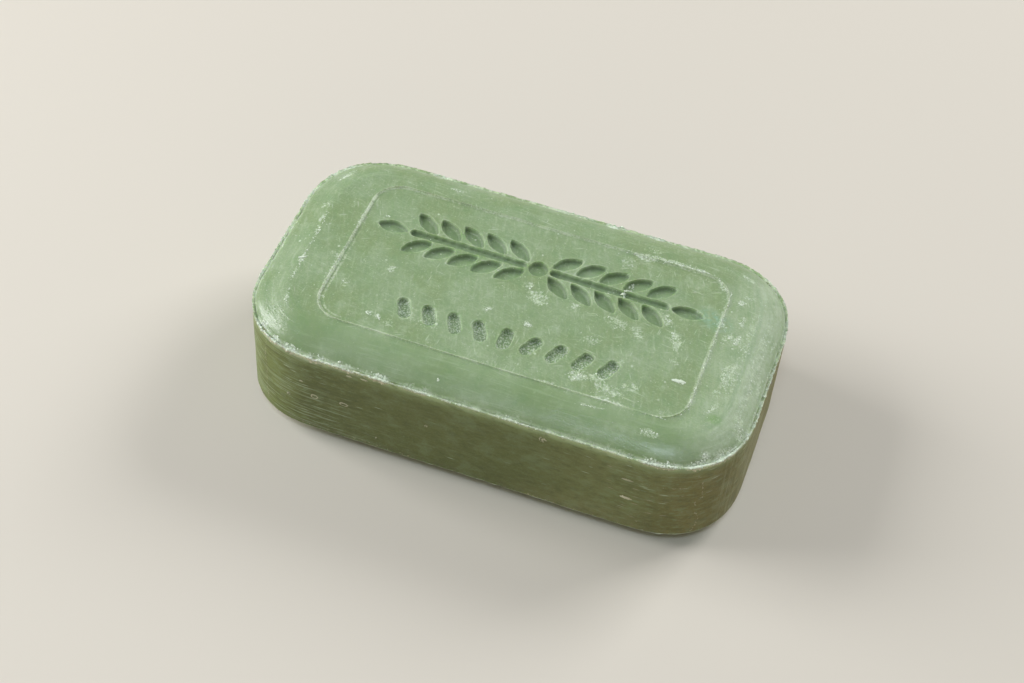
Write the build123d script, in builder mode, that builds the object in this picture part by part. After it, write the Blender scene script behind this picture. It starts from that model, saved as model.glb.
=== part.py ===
"""Bar of stamped toilet soap, in millimetres.

The bar lies flat with +Z up. X runs along it and Y across it.
The origin is the middle of the face that it rests on.
Two dies close on the blank: each leaves a pillowed crown with a flat panel in
the middle, and a thin fin of squeezed-out soap along its parting edge.
"""
import os

from build123d import *

# Plan of the bar
bar_length = 96.0
bar_width = 53.5
corner_radius = 16.5

# Upright side between the two parting edges
band_height = 19.3

# Crown: rise from the parting edge to the flat, and the level width of its shoulder
crown_rise = 3.1
shoulder_run = 7.0

# Fin that the dies squeeze out along each parting edge
fin_height = 0.4
fin_thickness = 0.35

# Panel that a separate insert in each die presses
panel_length = 70.5
panel_width = 36.4
panel_corner_radius = 5.5
panel_step = 0.15

# The upper insert sits a little off the middle of the bar's length
panel_shift = 0.5

# Raised line left by the gap round the upper insert
witness_width = 0.35
witness_height = 0.15

# Ornament pressed into the upper panel, with sloping walls
press_depth = 0.85
press_taper = 25.0

# Leaf spray across the upper part of the panel
leaf_length = 6.0
leaf_width = 2.5
leaf_angle = 38.0
leaf_pitch = 4.6
leaf_pairs = 5
spray_line = 7.6
stem_width = 1.3
stem_gap = 0.7
bud_diameter = 3.4

# Row of grains below the spray, which lean away from the middle one
grain_length = 4.8
grain_width = 2.1
grain_lean = 65.0
grain_pitch = 4.9
grains_each_side = 4
grain_line = -11.0

# Levels above the resting face
lower_flat = panel_step
lower_parting = lower_flat + crown_rise
middle = lower_parting + band_height / 2
upper_parting = lower_parting + band_height
upper_flat = upper_parting + crown_rise
panel_level = upper_flat - panel_step

# The relief cut runs this far outside the blank
cut_margin = 2.0

# Spray: the stem starts clear of the bud, and the leaves start clear of the stem
stem_start = bud_diameter / 2 + stem_gap
stem_length = leaf_pitch * leaf_pairs
leaf_foot = stem_width / 2 + stem_gap
tip_start = stem_start + stem_length + stem_gap

# One leaf, from its foot at the origin
with BuildSketch() as leaf:
    with BuildLine():
        ThreePointArc((0, 0), (leaf_length / 2, leaf_width / 2), (leaf_length, 0))
        ThreePointArc((leaf_length, 0), (leaf_length / 2, -leaf_width / 2), (0, 0))
    make_face()

# One arm of the spray, from the bud outwards
with BuildSketch() as arm:
    with Locations((stem_start + stem_length / 2, 0)):
        SlotOverall(stem_length, stem_width)
    with Locations((tip_start, 0)):
        add(leaf.sketch)
    for pair in range(leaf_pairs):
        foot = stem_start + pair * leaf_pitch
        with Locations(Location((foot, leaf_foot), leaf_angle)):
            add(leaf.sketch)
        with Locations(Location((foot, -leaf_foot), -leaf_angle)):
            add(leaf.sketch)

# The row: an upright grain in the middle, and leaning ones on both sides of it
with BuildSketch() as grain_row:
    for place in range(1, grains_each_side + 1):
        with Locations((place * grain_pitch, 0)):
            SlotOverall(grain_length, grain_width, rotation=grain_lean)
    mirror(about=Plane.YZ)
    SlotOverall(grain_length, grain_width, rotation=90)

# Parting edge of the upper die, and the plane across it that faces inwards
with BuildSketch(Plane.XY.offset(upper_parting)) as parting_plan:
    RectangleRounded(bar_length, bar_width, corner_radius)
parting_edge = parting_plan.sketch.wire()
along_edge = parting_edge % 0
across_edge = Plane(origin=parting_edge @ 0, x_dir=Axis.Z.direction.cross(along_edge), z_dir=along_edge)

with BuildPart() as soap_bar:
    # Upper half of the blank
    with BuildSketch(Plane.XY.offset(middle)):
        RectangleRounded(bar_length, bar_width, corner_radius)
    extrude(amount=upper_flat - middle)

    # The die clears away what lies outside its rounded shoulder, but for the fin
    with BuildSketch(across_edge):
        with BuildLine():
            shoulder = TangentArc((shoulder_run, crown_rise), (fin_thickness, 0), tangent=(-1, 0))
            Polyline(
                shoulder @ 1,
                (fin_thickness, fin_height),
                (-cut_margin, fin_height),
                (-cut_margin, crown_rise + cut_margin),
                (shoulder_run, crown_rise + cut_margin),
                shoulder @ 0,
            )
        make_face()
    sweep(path=parting_edge, mode=Mode.SUBTRACT)

    # Lower half, like the upper one
    mirror(about=Plane.XY.offset(middle))

    # Lower panel stands a little proud: the bar rests on it
    with BuildSketch():
        RectangleRounded(panel_length, panel_width, panel_corner_radius)
    extrude(amount=panel_step)

    # Upper panel lies a little deeper than the flat round it
    with BuildSketch(Plane.XY.offset(upper_flat)):
        with Locations((panel_shift, 0)):
            RectangleRounded(panel_length, panel_width, panel_corner_radius)
    extrude(amount=-panel_step, mode=Mode.SUBTRACT)

    # Raised witness line round the upper panel
    with BuildSketch(Plane.XY.offset(upper_flat)):
        with Locations((panel_shift, 0)):
            RectangleRounded(panel_length, panel_width, panel_corner_radius)
            offset(amount=witness_width, mode=Mode.REPLACE)
            RectangleRounded(panel_length, panel_width, panel_corner_radius, mode=Mode.SUBTRACT)
    extrude(amount=witness_height)

    # Ornament: two arms of leaves from one bud, and the row of grains
    with BuildSketch(Plane.XY.offset(panel_level)):
        with Locations(Location((panel_shift, spray_line), 0), Location((panel_shift, spray_line), 180)):
            add(arm.sketch)
        with Locations((panel_shift, spray_line)):
            Circle(bud_diameter / 2)
        with Locations((panel_shift, grain_line)):
            add(grain_row.sketch)
    extrude(amount=-press_depth, taper=press_taper, mode=Mode.SUBTRACT)

soap_bar.part.label = "soap_bar"

os.makedirs("parts", exist_ok=True)
export_step(soap_bar.part, "parts/soap_bar.step")
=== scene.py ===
"""A used bar of stamped green soap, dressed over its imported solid. Metres, +Z up, the bar's middle at X 0, Y 0."""

import math
import random

import bmesh
import bpy
from mathutils import Matrix, Vector, noise
from mathutils.bvhtree import BVHTree


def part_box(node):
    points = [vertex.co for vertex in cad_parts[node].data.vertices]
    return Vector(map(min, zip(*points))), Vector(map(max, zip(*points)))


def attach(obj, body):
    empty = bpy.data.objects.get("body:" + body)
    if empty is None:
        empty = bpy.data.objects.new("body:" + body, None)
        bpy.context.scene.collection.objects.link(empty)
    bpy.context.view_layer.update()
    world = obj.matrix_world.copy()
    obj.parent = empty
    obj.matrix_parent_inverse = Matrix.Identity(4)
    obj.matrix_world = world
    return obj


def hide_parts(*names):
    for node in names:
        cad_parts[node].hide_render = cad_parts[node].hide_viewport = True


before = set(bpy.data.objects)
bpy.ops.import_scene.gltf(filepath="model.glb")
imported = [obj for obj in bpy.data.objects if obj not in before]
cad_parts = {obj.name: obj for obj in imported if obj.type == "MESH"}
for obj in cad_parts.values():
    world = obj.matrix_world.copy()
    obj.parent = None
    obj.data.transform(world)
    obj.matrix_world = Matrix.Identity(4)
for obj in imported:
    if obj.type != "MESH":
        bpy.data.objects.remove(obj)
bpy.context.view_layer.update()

mm = 0.001

# Plan of the bar
low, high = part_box("soap_bar")
bar_length = high.x - low.x
bar_width = high.y - low.y
corner_radius = 17.6 * mm
corner_fullness = 0.554
corner_power = -2 * math.log(2) / math.log(corner_fullness)
corner_steps = 34

# Levels above the resting face
panel_step = 0.15 * mm
crown_rise = 3.1 * mm
band_height = 19.3 * mm
lower_flat = panel_step
lower_parting = lower_flat + crown_rise
upper_parting = lower_parting + band_height
upper_flat = upper_parting + crown_rise
panel_level = upper_flat - panel_step
middle = (lower_parting + upper_parting) / 2

# Shoulder between the parting edge and the flat
shoulder_run = 7.0 * mm
upper_shoulder_steps = 20
lower_shoulder_steps = 8

# Fin of squeezed-out soap on each parting edge, worn lower than it was pressed
fin_height = 0.28 * mm
fin_thickness = 0.35 * mm

# Panel and the raised line round it
panel_length = 70.5 * mm
panel_width = 36.4 * mm
panel_corner_radius = 5.5 * mm
panel_shift = 0.5 * mm
witness_width = 0.35 * mm
witness_height = 0.14 * mm

# Ornament pressed into the panel
press_depth = 0.85 * mm
press_wall = 0.42 * mm
leaf_length = 6.0 * mm
leaf_width = 2.5 * mm
leaf_angle = math.radians(38)
leaf_pitch = 4.6 * mm
leaf_pairs = 5
spray_line = 7.6 * mm
stem_width = 1.3 * mm
stem_gap = 0.7 * mm
bud_diameter = 3.4 * mm
grain_length = 4.8 * mm
grain_width = 2.1 * mm
grain_lean = math.radians(65)
grain_pitch = 4.9 * mm
grains_each_side = 4
grain_line = -11.0 * mm

# Spacing of the mesh, and how near to one another two places count as one
column_step = 0.78 * mm
row_step = 1.6 * mm
panel_cell = 0.46 * mm
under_cell = 1.56 * mm
upper_rings = 8
under_rings = 3
fine_round_marks = 0.7 * mm
tight = 1e-7

front = Vector((0, -1, 0))
upwards = Vector((0, 0, 1))

# How uneven the pressed form has become
fin_zone = 0.95 * mm
fin_zone_blur = 0.3 * mm
soundest_fin = 0.22
outline_waves = [(1.3 * mm, 0.14), (0.5 * mm, 0.05)]
outline_seed = 5
lip_reach = 0.28 * mm
lip_height = 0.07 * mm
left_flattening = 0.5 * mm

# Crumbs, flakes and bubbles: sizes and spacings in millimetres, as in the lists below
litter_seed = 5
edge_tries = 11000
face_tries = 7500
edge_crumb = 0.17
edge_crumb_more = 0.11
edge_reach = 0.5
edge_spread = 1.1
edge_hang = 0.8
hanging_share = 0.3
edge_clump = 1.8
face_clump = 1.1
line_clump = 0.9
line_spacing = 0.16
crumbs_per_square = 16
heap_crumb = 0.19
face_crumb = 0.17
flake_thickness = 0.17
bubble_height = 0.8
sunk_in = 0.03

# Stretches of the parting edge where the fin is thick and crumbling: middle X and Y, reach, strength
crumbling = [
    (-40.5, -24, 5, 1.0),
    (-33, -27, 6.5, 1.0),
    (-25, -27, 6, 1.0),
    (-18.5, -27, 3.5, 0.9),
    (-11, -27, 4, 0.5),
    (-2, -27, 6, 0.22),
    (8, -27, 6, 0.35),
    (17, -27, 6, 0.25),
    (26, -27, 5, 0.40),
    (34.5, -26.5, 4.5, 0.75),
    (41.5, -23.5, 3.5, 1.0),
    (45.5, -20, 4, 1.0),
    (48, -12, 6, 0.5),
    (48, -2, 8, 0.4),
    (46, 14, 8, 0.3),
    (41, 22, 4, 0.8),
    (10, 27, 3, 0.8),
    (19, 27, 3, 0.7),
    (1, 27, 5, 0.5),
    (-25, 27, 4, 0.6),
    (-42.5, 19, 5, 0.9),
    (-47.5, 10, 7, 0.3),
    (-48, -2, 9, 0.3),
    (-48, -12, 7, 0.3),
]

# Smudges of dried white on the upper face: middle X and Y, length, width, turn in degrees, strength
smudges = [
    (24, 18.8, 17, 1.5, 0, 0.9),
    (18.4, 18.1, 5, 2.3, 0, 1.0),
    (16, 15.5, 5, 4, 40, 0.5),
    (19, 20.3, 4, 2, 0, 0.6),
    (33.6, 16.6, 4.0, 1.1, -50, 0.8),
    (35.6, 12.0, 1.1, 7, 0, 0.5),
    (26.6, 4.6, 5.2, 2.2, -55, 0.8),
    (29.4, 0.2, 6.5, 2.6, -60, 0.9),
    (30.6, -4.5, 4, 1.8, -70, 0.6),
    (2.6, 0.8, 5.6, 4.0, -20, 0.9),
    (0.3, 3.2, 2.2, 1.5, 0, 1.0),
    (9.8, 1.1, 3.4, 2.2, 60, 0.8),
    (18.6, 0.3, 8.5, 3.4, -10, 0.6),
    (22.4, -0.6, 3.6, 2.4, -40, 0.8),
    (15, -5.4, 4.6, 2.8, 20, 0.6),
    (21.7, -8.2, 3.0, 1.8, 60, 0.5),
    (15.4, -14.4, 4.6, 3.2, 15, 1.0),
    (18.6, -13.6, 5.0, 2.2, 0, 0.7),
    (21.4, -15.4, 7.5, 3.2, -6, 0.75),
    (25, -13.6, 4.4, 2.0, 0, 0.8),
    (21.6, -17.9, 6.4, 1.3, 0, 1.0),
    (24.2, -18.1, 2.2, 1.6, 0, 1.0),
    (19.9, -20.2, 7.0, 0.8, 4, 0.8),
    (31, -22.0, 5.0, 2.3, -8, 0.8),
    (4.6, -15.8, 3.0, 0.8, -50, 0.5),
    (11, -17.9, 6.0, 1.0, 0, 0.7),
    (3.1, -6.2, 2.2, 1.8, 0, 0.9),
    (-4.8, -5.3, 2.8, 1.8, 30, 0.6),
    (-24.8, -2.8, 2.8, 2.1, 60, 0.8),
    (-30.3, -2.6, 2.0, 1.5, 0, 0.4),
    (-31.6, -9.2, 3.0, 1.2, -65, 0.8),
    (-23.6, -14.6, 4.4, 1.2, -18, 0.9),
    (-20.5, -15.4, 4.0, 2.2, -18, 0.5),
    (-15, -12.5, 9, 5, 0, 0.3),
    (-36.1, -3.6, 2.6, 1.6, -50, 0.6),
    (-34.9, -7, 13, 1.4, 90, 0.7),
    (-34.9, 9.0, 7, 1.0, 86, 0.6),
    (-33.8, -14.0, 1.6, 1.3, 0, 0.6),
    (-42.4, 18.0, 4.2, 1.6, 60, 1.0),
    (-42.9, 8.4, 2.4, 1.4, 40, 0.9),
    (-41.9, 5.0, 5.0, 1.0, 75, 0.9),
    (-41.6, 1.6, 5.0, 0.9, 97, 0.8),
    (-43.2, -1.3, 1.8, 1.1, 0, 0.5),
    (-41.1, -6.6, 3.8, 1.3, -72, 1.0),
    (-41.0, -11.0, 4.0, 0.9, 90, 0.8),
    (-39.9, -16.4, 5, 0.8, -72, 0.8),
    (-47.0, 0, 24, 1.0, 90, 0.7),
    (-47.0, -11, 8, 1.0, 90, 0.6),
    (-21, 21.5, 4.0, 1.5, 0, 0.7),
    (-25.6, 25.2, 3.0, 1.6, 0, 0.9),
    (9.8, 25.0, 3.2, 1.8, 0, 1.0),
    (18.8, 25.2, 2.6, 1.6, 0, 1.0),
    (38.2, 13.7, 1.9, 1.7, 0, 1.0),
    (39.3, 15.5, 3.2, 0.9, 15, 0.8),
    (38.0, 20.4, 4.0, 1.6, -20, 0.9),
    (36.4, 7.0, 3.0, 2.2, 0, 0.8),
    (38.2, 4.4, 3.4, 2.4, 70, 0.7),
    (39.5, 9.2, 4.4, 1.1, 96, 0.9),
    (39.8, 4.0, 5.2, 1.6, 84, 0.9),
    (40.5, -4.6, 8.0, 3.6, 90, 0.75),
    (39.6, -9.2, 3.6, 2.0, 90, 0.6),
    (39.8, -12.8, 4.6, 1.3, 60, 0.7),
    (41.8, 2, 30, 2.6, 90, 0.40),
    (44.6, 0, 34, 2.6, 90, 0.45),
    (45.2, -13.2, 5.6, 2.4, 90, 0.8),
    (46.0, -15.2, 4.0, 1.6, 80, 0.9),
    (46.4, 7.2, 3.6, 1.1, 80, 0.8),
    (46.3, -3.8, 5.6, 1.2, 96, 0.8),
    (44.2, -20.0, 5.4, 2.4, 50, 1.0),
    (41.7, -22.0, 3.2, 2.2, 20, 1.0),
    (35.9, 0, 31, 0.9, 90, 0.45),
]

# Lines of crumbs on the upper face: share kept, spread, thickest, dryness, and the points they follow
crumb_lines = [
    (0.47, 0.30, 0.16, 0.95, [(-39.3, -19), (-39.8, -17), (-40.7, -13), (-41.1, -10), (-41.1, -4), (-41.2, 0.5)]),
    (1.00, 0.30, 0.20, 1.0, [(-41.3, -5.4), (-40.9, -7.4)]),
    (0.74, 0.25, 0.18, 1.0, [(-41.1, 0.5), (-41.2, 4.0), (-41.8, 5.2)]),
    (0.81, 0.15, 0.15, 1.0, [(-43.4, 8.6), (-42.4, 8.9), (-42.0, 8.2), (-42.6, 7.5)]),
    (0.94, 0.50, 0.22, 1.0, [(-43.3, 16.0), (-42.4, 18.0), (-41.4, 20.6)]),
    (1.00, 0.14, 0.18, 1.0, [(20.0, -17.8), (23.6, -18.0)]),
    (0.68, 0.20, 0.15, 1.0, [(17.0, -20.6), (22.6, -20.1)]),
    (0.81, 0.60, 0.20, 1.0, [(14.0, -14.0), (16.6, -14.8)]),
    (0.81, 0.40, 0.18, 1.0, [(14.5, 18.4), (19.5, 18.2), (24.0, 18.6)]),
    (0.74, 0.16, 0.16, 1.0, [(24.0, 18.7), (31.6, 18.7), (33.6, 17.2), (35.2, 15.2)]),
    (0.94, 0.10, 0.17, 1.0, [(35.8, 15.4), (35.9, 12.6)]),
    (0.61, 0.10, 0.14, 1.0, [(35.9, 12.0), (36.0, -3.0)]),
    (1.00, 0.10, 0.18, 1.0, [(35.9, -3.2), (35.9, -5.2)]),
    (1.00, 0.10, 0.20, 1.0, [(35.9, -7.8), (35.9, -11.0)]),
    (1.00, 0.12, 0.20, 1.0, [(35.8, -12.2), (35.8, -14.4)]),
    (1.00, 0.12, 0.18, 1.0, [(35.2, -16.0), (34.0, -17.2)]),
    (0.68, 0.10, 0.15, 1.0, [(33.4, -18.2), (28.4, -18.3)]),
    (0.47, 0.20, 0.13, 0.9, [(-34.8, -12), (-35.0, 0), (-34.9, 12)]),
    (0.81, 0.50, 0.20, 1.0, [(-24.6, -2.2), (-24.9, -3.4)]),
    (0.88, 0.25, 0.18, 1.0, [(-32.0, -8.4), (-31.3, -9.8)]),
    (0.81, 0.50, 0.22, 1.0, [(29.4, -22.2), (30.6, -21.6), (32.8, -22.3)]),
    (0.68, 0.40, 0.16, 1.0, [(-22.4, 21.6), (-19.8, 21.4)]),
    (0.81, 0.50, 0.20, 1.0, [(45.9, -13.9), (46.2, -16.2)]),
    (0.81, 0.25, 0.17, 1.0, [(39.6, 10.6), (39.5, 7.8)]),
    (0.81, 0.35, 0.18, 1.0, [(40.0, 5.8), (39.6, 2.2)]),
    (0.68, 0.50, 0.18, 1.0, [(36.0, 8.0), (36.8, 6.2)]),
    (0.68, 0.90, 0.18, 1.0, [(40.2, -3.0), (40.8, -6.4)]),
    (0.68, 0.20, 0.16, 1.0, [(40.8, -12.0), (39.2, -13.6)]),
    (0.41, 0.80, 0.15, 0.9, [(44.6, -12), (45.3, -2), (44.9, 8)]),
]

# Lines of dried soap on the front wall, down its two corners, under its edge and along its foot:
# share kept, spread, thickest, dryness, and the points they follow in X and height
wall_lines = [
    (0.95, 0.14, 0.17, 0.5, [(41.0, 20.8), (42.0, 18.6), (42.4, 15.6), (42.5, 13.6), (41.6, 12.4)]),
    (0.95, 0.14, 0.17, 0.5, [(41.6, 12.4), (41.9, 9.2), (42.6, 7.4), (42.2, 5.0), (41.8, 3.6)]),
    (0.75, 0.12, 0.16, 0.45, [(-40.7, 21.0), (-41.2, 17.0), (-41.0, 12.8), (-41.2, 7.0), (-40.7, 4.2)]),
    (0.75, 0.06, 0.12, 0.45, [(27.8, 16.4), (30.8, 16.6), (34.6, 16.7), (39.9, 16.9)]),
    (0.60, 0.15, 0.14, 0.45, [(32.0, 5.6), (34.0, 5.7)]),
    (0.60, 0.15, 0.18, 0.8, [(33.2, 3.4), (36.2, 2.9)]),
    (0.22, 0.15, 0.14, 0.6, [(6.0, 3.6), (15.0, 3.5), (31.0, 3.4)]),
    (0.20, 0.15, 0.14, 0.6, [(-33.0, 3.9), (-24.0, 3.8), (-11.0, 3.7)]),
]

# Heaped crumbs pressed flat on the upper face: X, Y, length, width, turn in degrees, dryness
panel_heaps = [
    (32.6, -8.8, 2.7, 0.8, 2, 1.0),
    (33.2, -8.7, 1.4, 0.8, 2, 1.0),
    (17.5, 9.3, 4.4, 1.0, 76, 0.75),
    (38.2, 13.7, 1.0, 1.0, 0, 1.0),
    (41.7, -22.0, 1.6, 1.2, 20, 1.0),
    (43.9, -20.5, 1.9, 1.1, 45, 1.0),
    (-41.2, -6.4, 1.6, 0.5, -70, 1.0),
    (-24.6, -14.6, 1.3, 0.7, -30, 1.0),
    (-22.6, -14.9, 1.6, 0.3, -12, 0.9),
    (3.1, -6.3, 1.1, 0.9, 20, 1.0),
    (0.6, 2.6, 1.0, 0.5, 70, 1.0),
    (-4.8, -5.3, 1.2, 0.6, 30, 0.8),
    (-7.5, -23.8, 0.55, 0.5, 0, 1.0),
    (9.8, 25.0, 2.0, 0.8, -4, 1.0),
    (18.8, 25.3, 1.1, 0.7, -4, 1.0),
    (-30.5, 9.8, 0.9, 0.6, 0, 1.0),
]

# Heaped crumbs on the front wall: X, height, length, width, turn in degrees, dryness
wall_heaps = [
    (13.2, 20.3, 1.5, 1.3, 0, 0.75),
    (29.6, 11.4, 2.4, 0.6, 0, 1.0),
    (29.4, 16.5, 2.4, 0.35, 0, 0.6),
    (-23.5, 21.0, 1.2, 0.35, 0, 0.7),
    (-20.6, 21.3, 1.6, 0.35, 0, 0.7),
    (-8.6, 13.9, 0.6, 0.4, 0, 0.6),
    (-18.2, 5.9, 0.5, 0.4, 0, 0.6),
    (-33.0, 15.5, 0.8, 0.35, 0, 0.6),
    (-38.5, 1.9, 1.6, 0.6, 0, 0.7),
]

# Burst bubbles on the front wall: X, height, length, width
bubbles = [(-30.4, 12.2, 1.25, 0.9), (-24.6, 12.6, 1.5, 0.7), (-35.8, 10.2, 0.6, 0.5)]

# Soft lamps: angle to the right from straight behind, height angle, distance, side, watts, colour
lamps = {
    "window_left": (-95, 30, 0.9, 0.52, 8.2, (1.0, 1.0, 1.0)),
    "window_right": (34, 33, 1.0, 0.45, 6.7, (1.0, 1.0, 1.0)),
    "sky": (168, 63, 0.9, 0.17, 1.7, (0.74, 0.87, 1.0)),
    "bounce": (155, 12, 0.8, 0.5, 0.8, (1.0, 0.82, 0.6)),
}
air_colour = (1.0, 0.93, 0.82, 1)
air_strength = 0.18

# Floor
floor_side = 6
floor_colour = (0.62, 0.585, 0.52, 1)
floor_roughness = 0.8

# Scratches on the upper face: length and width of their cells, turn in degrees, share of cells scratched
scratch_kinds = [
    (5.5, 0.50, 9, 0.20),
    (4.0, 0.46, -26, 0.16),
    (3.0, 0.44, 62, 0.16),
    (3.4, 0.46, 95, 0.16),
]

# Colours of the soap, of what has dried on it, and of painted light: glow under the edge, lit left corner, warm
# bounce, shade in creases
sage = (0.223, 0.316, 0.161, 1)
milky_sage = (0.263, 0.356, 0.203, 1)
straw_sage = (0.252, 0.308, 0.137, 1)
# Pale bloom, also used for painted highlights and a painted reflection band.
bloom_and_highlight = (0.460, 0.560, 0.400, 1)
deep_green = (0.170, 0.286, 0.132, 1)
crease_shade_colour = (0.075, 0.125, 0.052, 1)
olive = (0.117, 0.138, 0.038, 1)
dark_olive = (0.070, 0.088, 0.026, 1)
lighter_olive = (0.156, 0.174, 0.056, 1)
edge_glow = (0.265, 0.340, 0.140, 1)
edge_glow_bright = (0.340, 0.430, 0.220, 1)
lit_corner_olive = (0.185, 0.228, 0.048, 1)
bounce_brown = (0.170, 0.142, 0.026, 1)
bounce_olive = (0.215, 0.205, 0.090, 1)
dusty_pink = (0.400, 0.350, 0.250, 1)
teal = (0.200, 0.390, 0.285, 1)
fresh_green = (0.130, 0.300, 0.040, 1)
dried_white = (0.690, 0.790, 0.645, 1)
dried_beige = (0.560, 0.540, 0.370, 1)
pale_rim = (0.610, 0.705, 0.525, 1)


def level_up(value):
    """A move straight up by this much."""
    return (0, 0, value)


def pick_faces(piece, wanted):
    """In edit mode, selects only the faces that pass a test."""
    bpy.ops.mesh.select_all(action="DESELECT")
    shape = bmesh.from_edit_mesh(piece.data)
    for face in shape.faces:
        if wanted(face):
            face.select_set(True)
    bmesh.update_edit_mesh(piece.data)


def pick_edges(piece, wanted):
    """In edit mode, selects only the edges that pass a test."""
    bpy.ops.mesh.select_all(action="DESELECT")
    shape = bmesh.from_edit_mesh(piece.data)
    for edge in shape.edges:
        if wanted(edge):
            edge.select_set(True)
    bmesh.update_edit_mesh(piece.data)


def inset_and_lift(inwards, up):
    """The selected cap gets a new ring inside it, and the cap moves up."""
    bpy.ops.mesh.inset(thickness=inwards, depth=0, use_even_offset=True, use_boundary=True)
    bpy.ops.transform.translate(value=level_up(up))


def extrude_cap(up):
    """The selected cap moves up and pulls a wall behind it."""
    bpy.ops.mesh.extrude_region_move(TRANSFORM_OT_translate={"value": level_up(up)})


def band():
    """The upright side of the bar, with its four full corners."""
    bpy.ops.object.select_all(action="DESELECT")
    bpy.ops.mesh.primitive_cube_add(size=1, location=(0, 0, middle), scale=(bar_length, bar_width, band_height))
    bar = bpy.context.object
    bar.name = "stamped_bar"
    bpy.ops.object.transform_apply(location=True, rotation=True, scale=True)
    bpy.ops.object.mode_set(mode="EDIT")
    bpy.context.tool_settings.mesh_select_mode = (False, True, False)
    pick_edges(bar, lambda e: abs(e.verts[0].co.z - e.verts[1].co.z) > band_height / 2)
    bpy.ops.mesh.bevel(
        offset=corner_radius,
        segments=corner_steps,
        profile=corner_fullness,
        affect="EDGES",
        clamp_overlap=False,
    )
    bpy.context.tool_settings.mesh_select_mode = (False, False, True)
    return bar


def shoulder_steps(steps):
    """Moves inwards and upwards along the arc from the fin's foot to the flat."""
    run = shoulder_run - fin_thickness
    radius = (run**2 + crown_rise**2) / (2 * crown_rise)
    sweep = math.asin(run / radius)
    points = []
    for step in range(steps + 1):
        angle = sweep * (1 - step / steps)
        points.append((run - radius * math.sin(angle), crown_rise - radius + radius * math.cos(angle)))
    return [(b[0] - a[0], b[1] - a[1]) for a, b in zip(points, points[1:])]


def press_crown(bar, side, steps):
    """One pressed face, side +1 above and -1 below: fin, rounded shoulder and flat.

    Worn soap fills the groove behind the fin, so the first step leads from the fin's top.
    """
    pick_faces(bar, lambda f: f.normal.z * side > 0.9)
    extrude_cap(side * fin_height)
    inset_and_lift(fin_thickness, 0)
    foot, *shoulder = shoulder_steps(steps)
    inset_and_lift(foot[0], side * (foot[1] - fin_height))
    for inwards, up in shoulder:
        inset_and_lift(inwards, side * up)


def round_panel_corners(shape, shift):
    """The selected ring's full corners become true arcs."""
    radius = panel_corner_radius + witness_width
    core = Vector((panel_length / 2 - panel_corner_radius, panel_width / 2 - panel_corner_radius))
    for point in shape.verts:
        beyond = Vector((abs(point.co.x - shift) - core.x, abs(point.co.y) - core.y))
        if point.select and min(beyond) > 0:
            arc = core + beyond.normalized() * radius
            point.co.x = math.copysign(arc.x, point.co.x - shift) + shift
            point.co.y = math.copysign(arc.y, point.co.y)


def ring_to_panel(bar, rings, shift):
    """From the flat's edge in to the panel's outline, whose corners are tighter and sides longer."""
    inwards = corner_radius - shoulder_run - panel_corner_radius - witness_width
    widen_x = (panel_length / 2 + witness_width - bar_length / 2 + shoulder_run + inwards) / rings
    widen_y = (panel_width / 2 + witness_width - bar_width / 2 + shoulder_run + inwards) / rings
    for ring in range(rings):
        inset_and_lift(inwards / rings, 0)
        shape = bmesh.from_edit_mesh(bar.data)
        for point in shape.verts:
            if point.select:
                point.co.x += math.copysign(1, point.co.x) * widen_x + shift / rings
                point.co.y += math.copysign(1, point.co.y) * widen_y
        if ring == rings - 1:
            round_panel_corners(shape, shift)
        bmesh.update_edit_mesh(bar.data)


def witness_line():
    """The low ridge round the upper panel, and the step down into the panel."""
    inset_and_lift(witness_width * 0.3, witness_height * 0.8)
    inset_and_lift(witness_width * 0.2, witness_height * 0.2)
    inset_and_lift(witness_width * 0.2, -witness_height * 0.2)
    inset_and_lift(witness_width * 0.6, -witness_height * 0.8 - panel_step * 0.4)
    inset_and_lift(witness_width * 0.8, -panel_step * 0.6)


def cut_across(axis, step, reach):
    """Cuts what shows square to an axis, at whole steps either side of the middle."""
    normal = Vector((axis == "x", axis == "y", 0))
    count = int(reach / step)
    for index in range(-count, count + 1):
        bpy.ops.mesh.select_all(action="SELECT")
        bpy.ops.mesh.bisect(plane_co=normal * (index * step), plane_no=normal, threshold=tight)


def cut_rows():
    """Rows round the upright side."""
    rows = round(band_height / row_step)
    for row in range(1, rows):
        bpy.ops.mesh.select_all(action="SELECT")
        level = lower_parting + band_height * row / rows
        bpy.ops.mesh.bisect(plane_co=level_up(level), plane_no=(0, 0, 1), threshold=tight)


def cut_panel(bar, side, cell):
    """A grid over one panel. The rest is hidden, so that it isn't cut."""
    level = panel_level if side > 0 else 0
    pick_faces(bar, lambda f: f.normal.z * side > 0.99 and abs(f.calc_center_median().z - level) < tight)
    bpy.ops.mesh.hide(unselected=True)
    cut_across("x", cell, panel_length / 2)
    cut_across("y", cell, panel_width / 2)
    bpy.ops.mesh.reveal()


def refine_marks(bar):
    """Finer points where the ornament will be pressed."""

    def near_mark(face):
        place = face.calc_center_median()
        return on_panel(place) and depth_in_ornament(place.x - panel_shift, place.y) > -fine_round_marks

    pick_faces(bar, near_mark)
    bpy.ops.mesh.subdivide(number_cuts=1)


def refine_fin(bar, side, cuts):
    """Finer points along one fin, for its broken edge."""
    parting = upper_parting if side > 0 else lower_parting

    def on_fin(face):
        beyond = (face.calc_center_median().z - parting) * side
        return tight < beyond <= fin_height + tight and (abs(face.normal.z) < 0.1 or beyond > fin_height - tight)

    pick_faces(bar, on_fin)
    bpy.ops.mesh.subdivide(number_cuts=cuts)


def refine_witness(bar):
    """Finer points along the raised line."""

    def on_line(face):
        place = face.calc_center_median()
        sloping = place.z > upper_flat + tight or 0.01 < abs(face.normal.z) < 0.95
        return sloping and place.z > panel_level - panel_step and from_panel(place) > -witness_width * 1.1

    pick_faces(bar, on_line)
    bpy.ops.mesh.subdivide(number_cuts=1)


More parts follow.
